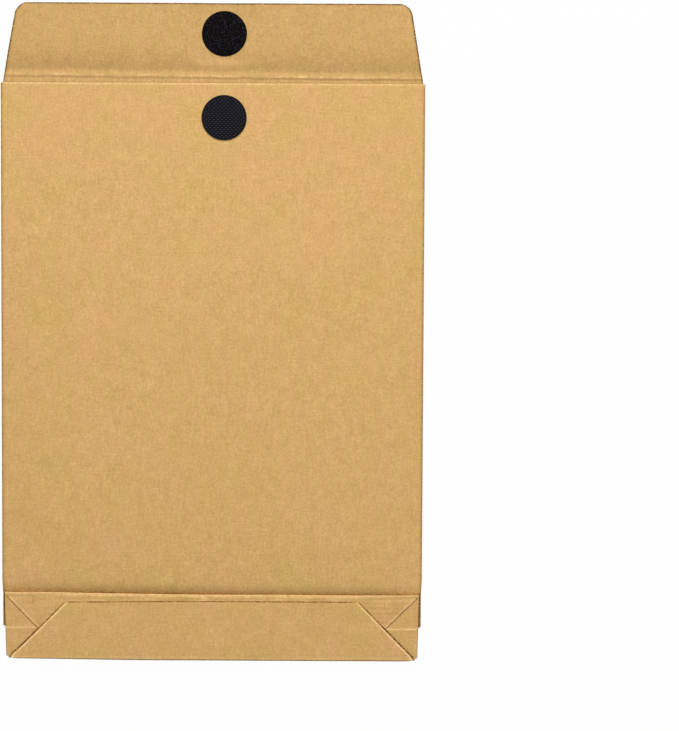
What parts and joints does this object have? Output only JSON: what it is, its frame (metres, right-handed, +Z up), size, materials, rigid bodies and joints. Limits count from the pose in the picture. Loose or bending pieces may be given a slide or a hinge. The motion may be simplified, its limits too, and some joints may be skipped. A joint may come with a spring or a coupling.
{
  "type": "expandable envelope",
  "caption": "Kraft-paper envelope that expands: folding side gussets, a folded block bottom, and a double-creased flap that closes with a hook-and-loop dot.",
  "frame": {"origin": "underside of the back panel, at the middle of the open envelope's length and width", "axes": "+Z up out of the front panel with the envelope flat on its back, +Y from the block bottom to the open flap, +X to the right seen from the front"},
  "size_m": [0.23, 0.3578, 0.0047],
  "materials": {
    "kraft_paper": "matte",
    "paper_glue": "satin",
    "dot_adhesive": "satin",
    "hook_nylon": "satin",
    "loop_nylon": "matte"
  },
  "bodies": {
    "back": {"back_panel": "kraft_paper"},
    "spine": {"flap_spine": "kraft_paper"},
    "flap": {"closure_flap": "kraft_paper", "loop_dot_adhesive": "dot_adhesive", "loop_dot_tape": "loop_nylon", "loop_dot_pile": "loop_nylon"},
    "left_gusset_back": {"left_gusset_back": "kraft_paper"},
    "left_gusset_front": {"left_gusset_front": "kraft_paper"},
    "right_gusset_back": {"right_gusset_back": "kraft_paper"},
    "right_gusset_front": {"right_gusset_front": "kraft_paper"},
    "front": {"front_panel": "kraft_paper", "side_seam_tab": "kraft_paper", "side_seam_glue": "paper_glue", "hook_dot_adhesive": "dot_adhesive", "hook_dot_tape": "hook_nylon"},
    "fold_strip": {"front_fold_strip": "kraft_paper"},
    "bottom_block": {"left_bottom_tuck": "kraft_paper", "right_bottom_tuck": "kraft_paper", "bottom_inner_flap": "kraft_paper", "bottom_glue": "paper_glue", "bottom_outer_flap": "kraft_paper"},
    "left_corner": {"left_corner_triangle": "kraft_paper"},
    "right_corner": {"right_corner_triangle": "kraft_paper"}
  },
  "joints": [
    {"name": "gusset_expand", "type": "hinge", "parent": "back", "child": "left_gusset_back", "pos_m": [-0.115, 0, 0.00038], "axis": [0, -1, 0], "range_deg": [0, 90]},
    {"name": "left_mid_crease", "type": "hinge", "parent": "left_gusset_back", "child": "left_gusset_front", "pos_m": [-0.09675, 0, 0.00088], "axis": [0, 1, 0], "range_deg": [0, 180]},
    {"name": "left_front_crease", "type": "hinge", "parent": "left_gusset_front", "child": "front", "pos_m": [-0.115, 0, 0.00137], "axis": [0, -1, 0], "range_deg": [0, 90]},
    {"name": "right_back_crease", "type": "hinge", "parent": "back", "child": "right_gusset_back", "pos_m": [0.115, 0, 0.00038], "axis": [0, 1, 0], "range_deg": [0, 90]},
    {"name": "right_mid_crease", "type": "hinge", "parent": "right_gusset_back", "child": "right_gusset_front", "pos_m": [0.09675, 0, 0.00088], "axis": [0, -1, 0], "range_deg": [0, 180]},
    {"name": "front_hidden_fold", "type": "hinge", "parent": "front", "child": "fold_strip", "pos_m": [0, -0.16065, 0.00237], "axis": [1, 0, 0], "range_deg": [0, 180]},
    {"name": "bottom_front_fold", "type": "hinge", "parent": "fold_strip", "child": "bottom_block", "pos_m": [0, -0.1424, 0.00313], "axis": [-1, 0, 0], "range_deg": [0, 90]},
    {"name": "left_corner_fold", "type": "hinge", "parent": "bottom_block", "child": "left_corner", "pos_m": [-0.1136, -0.16065, 0.00287], "axis": [0, 1, 0], "range_deg": [0, 90]},
    {"name": "right_corner_fold", "type": "hinge", "parent": "bottom_block", "child": "right_corner", "pos_m": [0.1136, -0.16065, 0.00287], "axis": [0, -1, 0], "range_deg": [0, 90]},
    {"name": "flap_fold", "type": "hinge", "parent": "back", "child": "spine", "pos_m": [0, 0.1364, 0.00038], "axis": [1, 0, 0], "range_deg": [0, 90]},
    {"name": "flap_upper_crease", "type": "hinge", "parent": "spine", "child": "flap", "pos_m": [0, 0.1405, 0.00038], "axis": [1, 0, 0], "range_deg": [0, 90]}
  ],
  "couplings": [
    {"joint": "left_mid_crease", "follows": "gusset_expand", "ratio": 2},
    {"joint": "left_front_crease", "follows": "gusset_expand", "ratio": 1},
    {"joint": "right_back_crease", "follows": "gusset_expand", "ratio": 1},
    {"joint": "right_mid_crease", "follows": "gusset_expand", "ratio": 2},
    {"joint": "front_hidden_fold", "follows": "gusset_expand", "ratio": 2},
    {"joint": "bottom_front_fold", "follows": "gusset_expand", "ratio": 1},
    {"joint": "left_corner_fold", "follows": "gusset_expand", "ratio": 1},
    {"joint": "right_corner_fold", "follows": "gusset_expand", "ratio": 1},
    {"joint": "flap_upper_crease", "follows": "flap_fold", "ratio": 1}
  ]
}
